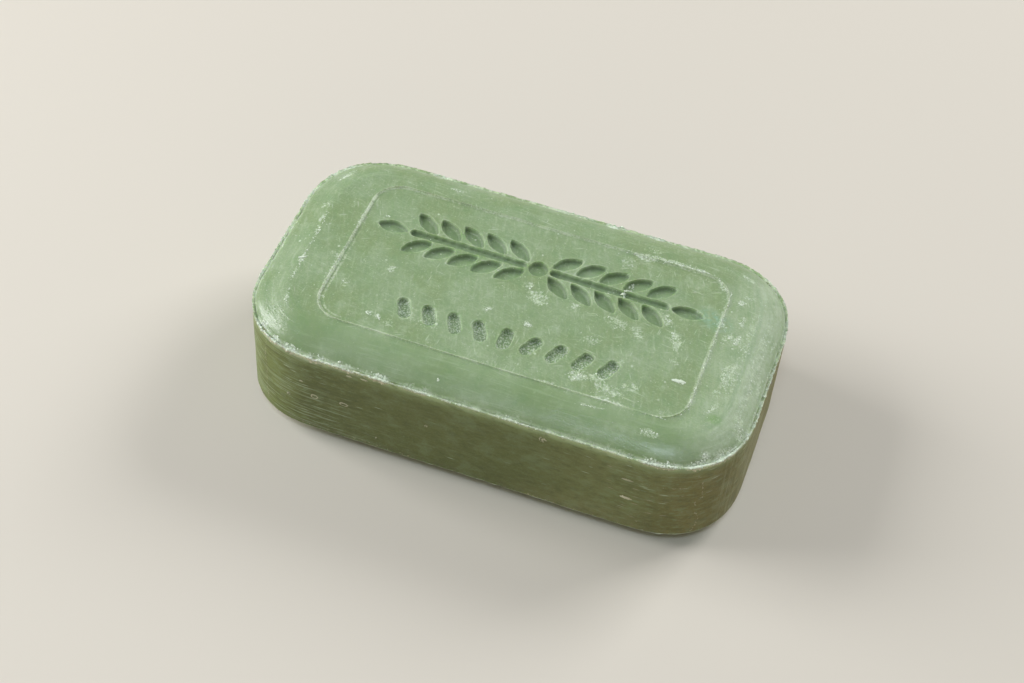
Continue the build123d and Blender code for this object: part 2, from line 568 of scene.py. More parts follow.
def settle_order(bar):
    """Points and faces put in the order of their places, so that the crumbs lie the same after every run."""
    places = [tuple(point.co) for point in bar.data.vertices]
    order = sorted(range(len(places)), key=places.__getitem__)
    rank = {point: new for new, point in enumerate(order)}
    rings = []
    for face in bar.data.polygons:
        ring = [rank[point] for point in face.vertices]
        first = ring.index(min(ring))
        rings.append(ring[first:] + ring[:first])
    bar.data.clear_geometry()
    bar.data.from_pydata([places[point] for point in order], [], sorted(rings))


def model_bar():
    """The whole bar, modelled from one block."""
    bar = band()
    press_crown(bar, +1, upper_shoulder_steps)
    ring_to_panel(bar, upper_rings, panel_shift)
    witness_line()
    press_crown(bar, -1, lower_shoulder_steps)
    ring_to_panel(bar, under_rings, 0)
    extrude_cap(-panel_step)
    pick_faces(bar, lambda f: len(f.verts) > 4)
    bpy.ops.mesh.hide(unselected=False)
    cut_across("x", column_step, bar_length / 2 - corner_radius)
    cut_across("y", column_step, bar_width / 2 - corner_radius)
    cut_rows()
    bpy.ops.mesh.reveal(select=False)
    refine_fin(bar, +1, cuts=2)
    refine_fin(bar, -1, cuts=1)
    refine_witness(bar)
    cut_panel(bar, -1, under_cell)
    cut_panel(bar, +1, panel_cell)
    refine_marks(bar)
    bpy.ops.mesh.select_all(action="SELECT")
    bpy.ops.mesh.normals_make_consistent(inside=False)
    bpy.ops.object.mode_set(mode="OBJECT")
    settle_order(bar)
    return bar


def soft_step(value):
    """0 below 0, 1 above 1, and a smooth rise between them."""
    value = min(1.0, max(0.0, value))
    return value * value * (3 - 2 * value)


def outwards(place):
    """The level direction that points out of the bar's side, nearest to a place."""
    core_x = bar_length / 2 - corner_radius
    core_y = bar_width / 2 - corner_radius
    beyond_x = place.x - min(max(place.x, -core_x), core_x)
    beyond_y = place.y - min(max(place.y, -core_y), core_y)
    way = Vector((beyond_x, beyond_y, 0))
    if way.length < tight:
        nearer_long_side = bar_width / 2 - abs(place.y) < bar_length / 2 - abs(place.x)
        way = Vector((0, place.y, 0)) if nearer_long_side else Vector((place.x, 0, 0))
    return way.normalized()


def inwards_of(place):
    """How far in from the bar's outline a place lies, seen from above."""
    beyond_x = abs(place.x) - (bar_length / 2 - corner_radius)
    beyond_y = abs(place.y) - (bar_width / 2 - corner_radius)
    outside = (max(beyond_x, 0) ** corner_power + max(beyond_y, 0) ** corner_power) ** (1 / corner_power)
    return corner_radius - outside - min(max(beyond_x, beyond_y), 0)


def from_panel(place):
    """How far inside the upper panel's outline a place lies, seen from above. Negative outside it."""
    beyond_x = abs(place.x - panel_shift) - (panel_length / 2 - panel_corner_radius)
    beyond_y = abs(place.y) - (panel_width / 2 - panel_corner_radius)
    outside = math.hypot(max(beyond_x, 0), max(beyond_y, 0))
    return panel_corner_radius - outside - min(max(beyond_x, beyond_y), 0)


def patchwork(patches, place):
    """The strength of the strongest patch that reaches a place."""
    best = 0.0
    for x, y, reach, strength in patches:
        near = 1 - math.hypot(place.x / mm - x, place.y / mm - y) / reach
        best = max(best, strength * soft_step(near * 1.6))
    return best


def smudged(place):
    """How thickly dried white lies at a place of the upper face."""
    best = 0.0
    for x, y, length, width, turn, strength in smudges:
        beyond_x, beyond_y = place.x / mm - x, place.y / mm - y
        if max(abs(beyond_x), abs(beyond_y)) < max(length, width) / 2:
            cosine, sine = math.cos(math.radians(turn)), math.sin(math.radians(turn))
            along = (beyond_x * cosine + beyond_y * sine) / length
            aside = (beyond_y * cosine - beyond_x * sine) / width
            best = max(best, strength * soft_step(2.0 - 3.9 * math.hypot(along, aside)))
    return best


def depth_in_leaf(x, y):
    """How far a point lies inside a leaf that runs along X from its foot."""
    arc = (leaf_length**2 + leaf_width**2) / (4 * leaf_width)
    across = abs(y) + arc - leaf_width / 2
    return arc - math.hypot(x - leaf_length / 2, across)


def depth_in_slot(x, y, length, width):
    """How far a point lies inside a round-ended slot centred on the origin."""
    beyond = max(0.0, abs(x) - (length - width) / 2)
    return width / 2 - math.hypot(beyond, y)


def depth_in_ornament(x, y):
    """How far a point of the panel, from its middle, lies inside the nearest pressed mark."""
    along = abs(x)
    up = y - spray_line
    stem_start = bud_diameter / 2 + stem_gap
    stem_length = leaf_pitch * leaf_pairs
    best = depth_in_slot(along - stem_start - stem_length / 2, up, stem_length, stem_width)
    best = max(best, bud_diameter / 2 - math.hypot(along, up))
    best = max(best, depth_in_leaf(along - stem_start - stem_length - stem_gap, up))
    cosine, sine = math.cos(leaf_angle), math.sin(leaf_angle)
    for pair in range(leaf_pairs):
        foot_x = along - stem_start - pair * leaf_pitch
        foot_y = abs(up) - stem_width / 2 - stem_gap
        best = max(best, depth_in_leaf(foot_x * cosine + foot_y * sine, foot_y * cosine - foot_x * sine))
    grain = min(round(along / grain_pitch), grains_each_side)
    lean = grain_lean if grain else math.radians(90)
    grain_x = along - grain * grain_pitch
    grain_y = y - grain_line
    lengthwise = grain_x * math.cos(lean) + grain_y * math.sin(lean)
    crosswise = grain_y * math.cos(lean) - grain_x * math.sin(lean)
    return max(best, depth_in_slot(lengthwise, crosswise, grain_length, grain_width))


def store(piece, name, values):
    """Keeps one number for each point of a piece."""
    layer = piece.data.attributes.new(name, "FLOAT", "POINT")
    layer.data.foreach_set("value", values)


def measure(piece, name, rule):
    """Keeps a number that is worked out from each point."""
    store(piece, name, [rule(point) for point in piece.data.vertices])


def group(bar, name, rule, shown_as=""):
    """A vertex group whose weights are worked out from each point's place. The finish may read them too."""
    weights = [rule(point) for point in bar.data.vertices]
    made = bar.vertex_groups.new(name=name)
    for index, weight in enumerate(weights):
        if weight > 0:
            made.add([index], weight, "REPLACE")
    if shown_as:
        store(bar, shown_as, weights)


def displace(bar, label, strength, group_name="", grain=None, mid=0.5, direction="NORMAL"):
    """Moves the points by a modifier, and applies it."""
    bpy.context.view_layer.objects.active = bar
    step = bar.modifiers.new(label, "DISPLACE")
    step.strength = strength
    step.mid_level = mid
    step.direction = direction
    step.vertex_group = group_name
    if grain:
        step.texture = bpy.data.textures.new(label, "CLOUDS")
        step.texture.noise_scale = grain
        step.texture.noise_depth = 3
    bpy.ops.object.modifier_apply(modifier=label)


def on_panel(place):
    """Whether a place lies on the upper panel's floor."""
    return from_panel(place) > 0 and panel_level - tight < place.z < upper_flat


def depth_in_marks(place):
    """How far a place lies inside the pressed marks, whose outlines have worn uneven."""
    uneven = Vector()
    for size, swing in outline_waves:
        uneven += noise.noise_vector(place / size) * swing * mm
    return depth_in_ornament(place.x - panel_shift + uneven.x, place.y + uneven.y)


def pressed(point):
    """1 on the floor of a pressed mark, 0 on the panel round it."""
    if not on_panel(point.co):
        return 0.0
    return soft_step(0.3 + depth_in_marks(point.co) / press_wall)


def lip(point):
    """The soap pushed up just outside each mark."""
    if not on_panel(point.co):
        return 0.0
    return soft_step(1 - abs(depth_in_marks(point.co) + lip_reach) / lip_reach)


def free_side(point):
    """All that may be uneven: everything but the face that the bar rests on."""
    return 1.0 if point.co.z > panel_step / 2 else 0.0


def fin_crest(point):
    """The tops of both fins."""
    above = max(point.co.z - upper_parting, lower_parting - point.co.z)
    near_edge = soft_step((fin_zone - inwards_of(point.co)) / fin_zone_blur)
    return near_edge * soft_step(above / fin_height) if above > 0 else 0.0


def fin_outer(point):
    """The outer sides of both fins."""
    return fin_crest(point) if point.normal.dot(outwards(point.co)) > 0.1 else 0.0


def fin_top(point):
    """The top of the upper fin, most uneven where it crumbles."""
    if point.co.z < middle:
        return 0.0
    return fin_crest(point) * (soundest_fin + (1 - soundest_fin) * fin_crumbling(point))


def witness_crest(point):
    """The raised line round the panel, most of all its top."""
    above = point.co.z - upper_flat
    on_line = above > tight and inwards_of(point.co) > shoulder_run
    return soft_step(above / witness_height) if on_line else 0.0


def left_plateau(point):
    """The left shoulder is pressed flatter than the others, up to a soft knuckle."""
    place = point.co
    share = inwards_of(place) / shoulder_run
    if place.z < upper_parting + tight or place.x > 0 or not 0 < share < 1:
        return 0.0
    turned = soft_step(-outwards(place).x * 1.8 - 0.7)
    return soft_step((share - 0.12) / 0.35) * soft_step((1 - share) / 0.5) * turned


def dusting(point):
    """How thickly dried white lies on a point."""
    return smudged(point.co) if point.co.z > upper_parting else 0.0


def fin_crumbling(point):
    """How strongly the upper fin crumbles near a point."""
    return patchwork(crumbling, point.co) if point.co.z > middle else 0.0


def break_up(bar):
    """Everything that makes the pressed form a real one: marks, broken fins, worn line, uneven sides."""
    # Unless it is set, Blender takes this seed from the clock, and the worn outlines differ from run to run
    noise.seed_set(outline_seed)
    group(bar, "press", pressed, shown_as="pressed")
    group(bar, "lip", lip, shown_as="raised")
    group(bar, "fins_outer", fin_outer)
    group(bar, "fin_top", fin_top)
    group(bar, "line", witness_crest)
    measure(bar, "inward", lambda point: inwards_of(point.co))
    measure(bar, "from_panel", lambda point: from_panel(point.co))
    measure(bar, "dust", dusting)
    measure(bar, "crumbly", fin_crumbling)
    group(bar, "plateau", left_plateau)
    group(bar, "free", free_side)
    displace(bar, "press_ornament", -press_depth, "press", mid=0.0, direction="Z")
    displace(bar, "raise_lips", lip_height, "lip", mid=0.0, direction="Z")
    displace(bar, "flatten_left_shoulder", -left_flattening, "plateau", mid=0.0, direction="Z")
    displace(bar, "chip_fins", 0.4 * mm, "fins_outer", grain=0.9 * mm, mid=0.85)
    displace(bar, "crumble_fin", 0.5 * mm, "fin_top", grain=0.7 * mm, mid=0.45)
    displace(bar, "wave_fin", 0.4 * mm, "fin_top", grain=2.6 * mm, mid=0.55)
    displace(bar, "wear_line", 0.14 * mm, "line", grain=0.9 * mm, mid=0.7, direction="Z")
    displace(bar, "sag", 0.3 * mm, "free", grain=20 * mm, mid=1.0)
    displace(bar, "ripple", 0.1 * mm, "free", grain=3.5 * mm, mid=1.0)


def spare_crumb(seed, fineness=1, roughness=0.5):
    """One rough crumb of a unit's radius, for copying."""
    bpy.ops.object.select_all(action="DESELECT")
    bpy.ops.mesh.primitive_ico_sphere_add(subdivisions=fineness, radius=1, location=(0, 0, 0))
    crumb = bpy.context.object
    bpy.ops.object.mode_set(mode="EDIT")
    bpy.ops.mesh.select_all(action="SELECT")
    bpy.ops.transform.vertex_random(offset=roughness, uniform=0.0, normal=0.0, seed=seed, wait_for_input=False)
    bpy.ops.object.mode_set(mode="OBJECT")
    return crumb


def bubble_ring():
    """The low uneven rim of a burst bubble, lying in its own plane."""
    bpy.ops.object.select_all(action="DESELECT")
    bpy.ops.mesh.primitive_torus_add(major_segments=14, minor_segments=6, major_radius=0.5, minor_radius=0.13)
    ring = bpy.context.object
    bpy.ops.object.mode_set(mode="EDIT")
    bpy.ops.mesh.select_all(action="SELECT")
    bpy.ops.transform.vertex_random(offset=0.09, uniform=0.0, normal=0.0, seed=3, wait_for_input=False)
    bpy.ops.object.mode_set(mode="OBJECT")
    return ring


def surface_below(surface, x, y):
    """The bar's surface straight below a place, and its direction there."""
    return surface.ray_cast(Vector((x, y, 2 * upper_flat)), -upwards)[:2]


def surface_beside(surface, x, z):
    """The front wall behind a place that faces it, and its direction there."""
    return surface.ray_cast(Vector((x, -bar_width, z)), -front)[:2]


def place_copy(spare, place, facing, turn, size, dryness, sink):
    """A copy of a spare, laid on the surface, with its place in its own mesh."""
    copy = spare.copy()
    copy.data = spare.data.copy()
    bpy.context.scene.collection.objects.link(copy)
    lie = facing.to_track_quat("Z", "Y").to_matrix().to_4x4()
    grow = Matrix.Diagonal((*size, 1))
    copy.data.transform(Matrix.Translation(place - facing * sink) @ lie @ Matrix.Rotation(turn, 4, "Z") @ grow)
    measure(copy, "dry", lambda point: dryness)
    return copy


def drop_crumb(spares, chance, place, facing, thickest, dryness):
    """One crumb, most often a small one, sunk a little into what it sticks to."""
    radius = thickest * (0.35 + 0.65 * chance.random() ** 2.5)
    size = (radius * chance.uniform(0.9, 1.5), radius, radius * 0.7)
    return place_copy(chance.choice(spares), place, facing, chance.uniform(0, 6), size, dryness, radius * 0.2)


def clumping(place, size):
    """A share that swings about 0.5 from place to place, so that crumbs gather in clumps of a size."""
    return min(1.0, max(0.0, 0.5 + 1.3 * noise.noise(place / (size * mm))))


def crumble_edge(bar, surface, chance, spares):
    """Crumbs in clumps along the crumbling stretches of the upper fin, some hanging on its outer side."""
    places = [point.co.copy() for point in bar.data.vertices]
    crest = [place for place in places if place.z > upper_parting and inwards_of(place) < edge_reach * mm]
    placed = []
    for _ in range(edge_tries):
        spot = chance.choice(crest)
        strength = patchwork(crumbling, spot)
        if chance.random() > strength * clumping(spot, edge_clump):
            continue
        way = outwards(spot)
        if chance.random() < hanging_share:
            level = upper_parting + chance.uniform(-edge_hang * strength, 0.3) * mm
            place, facing = surface.ray_cast(Vector((spot.x, spot.y, level)) + way * 5 * mm, -way)[:2]
        else:
            inside = spot - way * (edge_spread * strength * chance.random() ** 1.8) * mm
            place, facing = surface_below(surface, inside.x, inside.y)
        if place is not None and place.z > middle:
            thickest = (edge_crumb + edge_crumb_more * strength) * mm
            placed.append(drop_crumb(spares, chance, place, facing, thickest, 1.0))
    return placed


def dust_face(surface, chance, spares):
    """The coarser grains in the dried smudges of the upper face."""
    placed = []
    for _ in range(face_tries):
        x = chance.uniform(-bar_length / 2, bar_length / 2)
        y = chance.uniform(-bar_width / 2, bar_width / 2)
        spot = Vector((x, y, upper_flat))
        if chance.random() > 0.7 * smudged(spot) ** 2 * clumping(spot, face_clump):
            continue
        place, facing = surface_below(surface, x, y)
        if place is not None and place.z > upper_parting:
            placed.append(drop_crumb(spares, chance, place, facing, face_crumb * mm, 1.0))
    return placed


def follow_line(surface, chance, spares, line, on_wall):
    """A broken line of crumbs along bent points, on the upper face or on the front wall."""
    kept, spread, thickest, dryness, points = line
    look = surface_beside if on_wall else surface_below
    placed = []
    for (ax, ay), (bx, by) in zip(points, points[1:]):
        steps = max(1, round(math.hypot(bx - ax, by - ay) / line_spacing))
        for step in range(steps):
            x = (ax + (bx - ax) * step / steps + chance.gauss(0, spread / 2)) * mm
            y = (ay + (by - ay) * step / steps + chance.gauss(0, spread / 2)) * mm
            if chance.random() > kept * 1.6 * clumping(Vector((x, y, 0)), line_clump):
                continue
            place, facing = look(surface, x, y)
            if place is not None:
                placed.append(drop_crumb(spares, chance, place, facing, thickest * mm, dryness))
    return placed


def press_heap(surface, chance, spares, flake, heap, on_wall):
    """Crumbs crowded into an oval, and on a long one a flake that was pressed flat."""
    x, y, length, width, turn, dryness = heap
    look = surface_beside if on_wall else surface_below
    cosine, sine = math.cos(math.radians(turn)), math.sin(math.radians(turn))
    placed = []
    for _ in range(max(7, round(length * width * crumbs_per_square))):
        reach, angle = chance.random() ** 0.5 / 2, chance.uniform(0, 2 * math.pi)
        along, aside = length * reach * math.cos(angle), width * reach * math.sin(angle)
        spot_x = (x + along * cosine - aside * sine) * mm
        spot_y = (y + along * sine + aside * cosine) * mm
        place, facing = look(surface, spot_x, spot_y)
        if place is not None:
            placed.append(drop_crumb(spares, chance, place, facing, heap_crumb * mm, dryness))
    place, facing = look(surface, x * mm, y * mm)
    if length > 2 * width and place is not None:
        size = (length / 2 * mm, width / 2 * mm, flake_thickness * mm)
        placed.append(place_copy(flake, place, facing, math.radians(turn), size, dryness * 0.85, sunk_in * mm))
    return placed


def burst_bubbles(surface):
    """The burst bubbles on the front wall, and the ring they are copied from."""
    ring = bubble_ring()
    placed = []
    for x, z, length, width in bubbles:
        place, _ = surface_beside(surface, x * mm, z * mm)
        size = (length * mm, width * mm, bubble_height * mm)
        placed.append(place_copy(ring, place, front, 0.0, size, 0.65, sunk_in * mm))
    return placed, ring


def join_to_bar(bar, pieces):
    """Crumbs, flakes and runs become part of the bar's own mesh."""
    bpy.ops.object.select_all(action="DESELECT")
    for piece in pieces:
        piece.select_set(True)
    bar.select_set(True)
    bpy.context.view_layer.objects.active = bar
    bpy.ops.object.join()


def keep_in_box(bar):
    """Nothing that sticks out passes the solid's own box."""
    for point in bar.data.vertices:
        point.co.x = min(high.x, max(low.x, point.co.x))
        point.co.y = min(high.y, max(low.y, point.co.y))
        point.co.z = min(high.z, max(low.z, point.co.z))


def litter(bar):
    """All that is stuck on the bar, laid on its finished surface and joined to it."""
    chance = random.Random(litter_seed)
    places = [point.co for point in bar.data.vertices]
    surface = BVHTree.FromPolygons(places, [tuple(face.vertices) for face in bar.data.polygons])
    measure(bar, "dry", lambda point: 0.0)
    crumb_spares = [spare_crumb(seed) for seed in range(1, 6)]
    flake = spare_crumb(9, fineness=2, roughness=0.14)
    pieces = crumble_edge(bar, surface, chance, crumb_spares)
    pieces += dust_face(surface, chance, crumb_spares)
    for line in crumb_lines:
        pieces += follow_line(surface, chance, crumb_spares, line, on_wall=False)
    for line in wall_lines:
        pieces += follow_line(surface, chance, crumb_spares, line, on_wall=True)
    for heap in panel_heaps:
        pieces += press_heap(surface, chance, crumb_spares, flake, heap, on_wall=False)
    for heap in wall_heaps:
        pieces += press_heap(surface, chance, crumb_spares, flake, heap, on_wall=True)
    rings, ring_spare = burst_bubbles(surface)
    for spare in crumb_spares + [ring_spare, flake]:
        bpy.data.objects.remove(spare)
    join_to_bar(bar, pieces + rings)
    keep_in_box(bar)


class Finish:
    """One material, and the ways to build it up. A share is 0 where a coat is missing and 1 where it is full."""

    def __init__(self, name):
        self.material = bpy.data.materials.new(name)
        self.material.use_nodes = True
        self.nodes = self.material.node_tree.nodes
        self.links = self.material.node_tree.links
        self.shader = self.nodes["Principled BSDF"]
        self.place = self.nodes.new("ShaderNodeTexCoord").outputs["Object"]

    def feed(self, socket, value):
        """A link where the value comes from a node, or else a plain number or colour."""
        if isinstance(value, bpy.types.NodeSocket):
            self.links.new(value, socket)
        else:
            socket.default_value = value

    def mapped(self, source, stretch, turn):
        """Places that are stretched and turned."""
        node = self.nodes.new("ShaderNodeMapping")
        node.inputs["Scale"].default_value = stretch
        node.inputs["Rotation"].default_value = turn
        self.links.new(source, node.inputs["Vector"])
        return node.outputs["Vector"]

    def axis(self, name):
        """X, Y or Z of a place on the piece."""
        node = self.nodes.new("ShaderNodeSeparateXYZ")
        self.links.new(self.place, node.inputs[0])
        return node.outputs[name]

    def gather(self, x, y, z):
        """A place out of three values."""
        node = self.nodes.new("ShaderNodeCombineXYZ")
        for socket, value in zip(node.inputs, (x, y, z)):
            self.feed(socket, value)
        return node.outputs[0]

    def noise(self, size, detail=3.0, roughness=0.5, stretch=(1, 1, 1), turn=(0, 0, 0), twist=0.0, source=None):
        """Cloudy grey of this size, 0.5 on average. Turned first, then stretched, so a stretch follows the turn."""
        node = self.nodes.new("ShaderNodeTexNoise")
        turned = self.mapped(source or self.place, (1, 1, 1), turn)
        self.links.new(self.mapped(turned, stretch, (0, 0, 0)), node.inputs["Vector"])
        node.inputs["Scale"].default_value = 1 / size
        node.inputs["Detail"].default_value = detail
        node.inputs["Roughness"].default_value = roughness
        node.inputs["Distortion"].default_value = twist
        return node.outputs["Fac"]

    def measured(self, name):
        """A number that is stored on the piece's points."""
        node = self.nodes.new("ShaderNodeAttribute")
        node.attribute_name = name
        return node.outputs["Fac"]

    def rise(self, value, start, end):
        """0 where value is at start, 1 where it is at end, smooth between."""
        node = self.nodes.new("ShaderNodeMapRange")
        node.interpolation_type = "SMOOTHSTEP"
        self.feed(node.inputs["Value"], value)
        node.inputs["From Min"].default_value = start
        node.inputs["From Max"].default_value = end
        return node.outputs["Result"]

    def between(self, value, start, full, full_until, end):
        """1 from full to full_until, 0 before start and after end."""
        return self.times(self.rise(value, start, full), self.rise(value, end, full_until))

    def count(self, operation, a, b):
        """Two values taken together."""
        node = self.nodes.new("ShaderNodeMath")
        node.operation = operation
        self.feed(node.inputs[0], a)
        self.feed(node.inputs[1], b)
        return node.outputs[0]

    def times(self, *values):
        """All the values multiplied."""
        total = values[0]
        for value in values[1:]:
            total = self.count("MULTIPLY", total, value)
        return total

    def most(self, *values):
        """The largest of the values."""
        total = values[0]
        for value in values[1:]:
            total = self.count("MAXIMUM", total, value)
        return total

    def plus(self, a, b):
        return self.count("ADD", a, b)

    def less(self, a, b):
        return self.count("SUBTRACT", a, b)

    def marks(self, stretch, share, uneven, turn=0.0):
        """Separate marks of random size and strength, one at most in each cell. stretch holds the cell's sizes."""
        node = self.nodes.new("ShaderNodeTexVoronoi")
        turned = self.mapped(self.place, (1, 1, 1), (0, 0, math.radians(turn)))
        cells = self.mapped(turned, [1 / size if size else 0 for size in stretch], (0, 0, 0))
        self.links.new(cells, node.inputs["Vector"])
        node.inputs["Scale"].default_value = 1
        picked = self.nodes.new("ShaderNodeSeparateColor")
        self.links.new(node.outputs["Color"], picked.inputs[0])
        there = self.rise(self.less(share, picked.outputs["Red"]), 0.0, 0.03)
        reach = self.plus(0.12, self.times(picked.outputs["Green"], 0.28))
        strength = self.plus(0.35, self.times(picked.outputs["Blue"], 0.65))
        body = self.rise(self.count("DIVIDE", self.plus(node.outputs["Distance"], uneven), reach), 1.0, 0.3)
        return self.times(body, there, strength)

    def near(self, x, y, long_reach, short_reach, turn):
        """1 at a place of the upper face, 0 outside the oval round it."""
        level = self.mapped(self.place, (1, 1, 0), (0, 0, math.radians(-turn)))
        cosine, sine = math.cos(math.radians(-turn)), math.sin(math.radians(-turn))
        middle_x, middle_y = x * cosine - y * sine, x * sine + y * cosine
        node = self.nodes.new("ShaderNodeMapping")
        node.inputs["Location"].default_value = (-middle_x / long_reach, -middle_y / short_reach, 0)
        node.inputs["Scale"].default_value = (1 / long_reach, 1 / short_reach, 1)
        self.links.new(level, node.inputs["Vector"])
        length = self.nodes.new("ShaderNodeVectorMath")
        length.operation = "LENGTH"
        self.links.new(node.outputs["Vector"], length.inputs[0])
        return self.rise(length.outputs["Value"], 1.0, 0.2)

    def tint(self, share, first, second):
        """From the first colour to the second."""
        node = self.nodes.new("ShaderNodeMix")
        node.data_type = "RGBA"
        self.feed(node.inputs["Factor"], share)
        self.feed(node.inputs[6], first)
        self.feed(node.inputs[7], second)
        return node.outputs[2]

    def coats(self, colour, *coats):
        """Thin coats over a colour, one after the other: each is its colour, and shares that are multiplied."""
        for shade, *shares in coats:
            colour = self.tint(self.times(*shares), colour, shade)
        return colour

    def relief(self, height, depth):
        """Small heights, as a surface direction."""
        node = self.nodes.new("ShaderNodeBump")
        node.inputs["Distance"].default_value = depth
        self.links.new(height, node.inputs["Height"])
        return node.outputs["Normal"]


class SoapFinish(Finish):
    """Waxy sage green soap, scuffed, scratched and dusted with its own dried white."""

    def __init__(self):
        super().__init__("waxy green soap")
        self.across, self.deep, self.high_up = (self.axis(name) for name in "XYZ")
        self.inward = self.measured("inward")
        self.sunk = self.measured("pressed")
        self.dust = self.measured("dust")
        self.crumbly = self.measured("crumbly")
        self.dry = self.measured("dry")
        self.mix_clouds()
        self.find_zones()
        colour = self.stained(self.upper_soap())
        colour = self.tint(self.on_side, colour, self.dragged(self.side_soap()))
        colour = self.shoulder_wipes_and_painted_band(colour)
        colour = self.scratched(colour)
        colour = self.shaded_marks_and_lip(colour)
        colour = self.panel_line(colour)
        colour = self.dried(colour)
        self.feed(self.shader.inputs["Base Color"], colour)
        self.wax()
        self.skin()

    def mix_clouds(self):
        """Clouds that several coats share."""
        self.wide_cloud = self.noise(13 * mm, 2)
        self.blotch = self.noise(4.0 * mm, 5, 0.62)
        self.scum = self.noise(1.1 * mm, 4, 0.68)
        self.grit = self.noise(0.34 * mm, 3, 0.65)
        self.ragged = self.times(self.less(self.grit, 0.5), 0.45)
        round_bar = self.gather(self.times(self.across, 0.07), self.times(self.deep, 0.07), self.inward)
        self.wipe = self.noise(0.55 * mm, 4, 0.65, source=round_bar)

    def find_zones(self):
        """Where the parts of the bar are."""
        above, below = 0.05 * mm, 0.20 * mm
        self.on_side = self.between(
            self.high_up, lower_parting - below, lower_parting + above, upper_parting - below, upper_parting + above
        )
        self.off_side = self.less(1.0, self.on_side)
        self.front_shoulder = self.times(self.rise(self.deep, -17 * mm, -20.5 * mm), self.off_side)
        self.not_front = self.less(1.0, self.times(self.front_shoulder, 0.75))
        self.right_shoulder = self.times(self.rise(self.across, 38.5 * mm, 42 * mm), self.off_side)
        # The right shoulder's band, where a reflection is painted; the wax is duller there.
        self.right_reflection_band = self.times(
            self.between(self.inward, 0.6 * mm, 1.6 * mm, 4.6 * mm, 5.4 * mm), self.right_shoulder
        )

    def upper_soap(self):
        """The soap of the upper face: cloudy, bloomed, and wiped at a slant, with painted shade on the front
        shoulder.
        """
        stroke = self.noise(0.62 * mm, 3, 0.6, stretch=(1, 0.13, 1), turn=(0, 0, math.radians(-15)))
        felt = self.noise(0.30 * mm, 3, 0.6, stretch=(0.16, 1, 1), turn=(0, 0, math.radians(12)))
        right_flat = self.rise(self.across, 35 * mm, 38 * mm)
        return self.coats(
            sage,
            (milky_sage, self.rise(self.wide_cloud, 0.38, 0.62)),
            (straw_sage, self.rise(self.wide_cloud, 0.52, 0.36), self.not_front, 0.20),
            (bloom_and_highlight, right_flat, 0.24),
            # Painted shade: the front shoulder is darker green where it turns away from the light.
            (deep_green, self.front_shoulder, 0.12),
            (deep_green, self.rise(self.blotch, 0.50, 0.30), 0.40),
            (bloom_and_highlight, self.rise(self.blotch, 0.50, 0.74), 0.34),
            (deep_green, self.rise(self.scum, 0.48, 0.34), self.not_front, 0.26),
            (deep_green, self.rise(stroke, 0.48, 0.32), self.not_front, 0.22),
            (bloom_and_highlight, self.rise(stroke, 0.54, 0.72), self.not_front, 0.24),
            (deep_green, self.rise(self.grit, 0.50, 0.28), self.not_front, 0.30),
            (bloom_and_highlight, self.rise(self.grit, 0.52, 0.74), self.not_front, 0.30),
            (bloom_and_highlight, self.rise(felt, 0.54, 0.70), self.not_front, self.off_side, 0.20),
        )

    def stained(self, colour):
        """A teal stain and a bright green one at the right end."""
        teal_stain = self.times(self.near(34.6 * mm, 7.6 * mm, 5.4 * mm, 3.4 * mm, -20), self.off_side)
        green_stain = self.times(self.near(41.1 * mm, -15.0 * mm, 2.1 * mm, 1.5 * mm, 0), self.off_side)
        grainy = self.plus(0.35, self.times(self.rise(self.grit, 0.40, 0.60), 0.40))
        return self.coats(
            colour,
            (teal, teal_stain, self.rise(self.scum, 0.34, 0.62), grainy),
            (fresh_green, green_stain, self.rise(self.grit, 0.36, 0.56), 0.60),
        )

    def side_soap(self):
        """The upright side is darker, and darker towards its foot, lighter olive to the right, with painted warm
        bounce light on the right end and its foot, painted light on the left corner, and a strip of painted glow
        under the edge with a painted highlight at its left end.
        """
        foot = self.rise(self.high_up, lower_parting + 9 * mm, lower_parting)
        low_foot = self.rise(self.high_up, lower_parting + 7 * mm, lower_parting)
        bounce_foot = self.times(self.rise(self.across, 0, 22 * mm), low_foot)
        # Painted glow: light through the soap brightens a strip under the upper edge, most of all just under it.
        glow_strip = self.rise(self.high_up, upper_parting - 3.4 * mm, upper_parting - 0.5 * mm)
        brightest_glow_strip = self.rise(self.high_up, upper_parting - 1.5 * mm, upper_parting - 0.3 * mm)
        # Painted highlight: the strip is paler still towards the lit left corner.
        left_highlight = self.times(brightest_glow_strip, self.rise(self.across, -18 * mm, -32 * mm))
        wall_grain = self.noise(0.9 * mm, 4, 0.66, stretch=(0.38, 0.38, 1))
        self.outer_parts = self.most(
            self.rise(self.across, -8 * mm, -28 * mm), self.rise(self.across, 16 * mm, 30 * mm), 0.40
        )
        return self.coats(
            olive,
            (dark_olive, foot, 0.12),
            (lighter_olive, self.rise(self.across, 8 * mm, 24 * mm)),
            # Painted light: the wall's left corner is lighter, as if lit from the left.
            (lit_corner_olive, self.rise(self.across, -30 * mm, -40 * mm), 0.6),
            # Painted bounce light: warm light thrown up from below tints the right foot and the right end.
            (bounce_olive, bounce_foot, 0.45),
            (bounce_brown, self.rise(self.across, 29 * mm, 44 * mm), 0.82),
            # Painted glow under the upper edge, and a painted highlight where it reaches the lit left corner.
            (edge_glow, glow_strip, 0.52),
            (edge_glow_bright, brightest_glow_strip, 0.80),
            (bloom_and_highlight, left_highlight, 0.45),
            (dark_olive, self.rise(self.blotch, 0.52, 0.36), 0.22),
            (dark_olive, self.rise(wall_grain, 0.50, 0.34), 0.42),
            (sage, self.rise(wall_grain, 0.51, 0.68), self.outer_parts, 0.40),
            (sage, self.rise(self.blotch, 0.50, 0.70), 0.22),
            (sage, self.rise(self.grit, 0.50, 0.75), 0.25),
        )

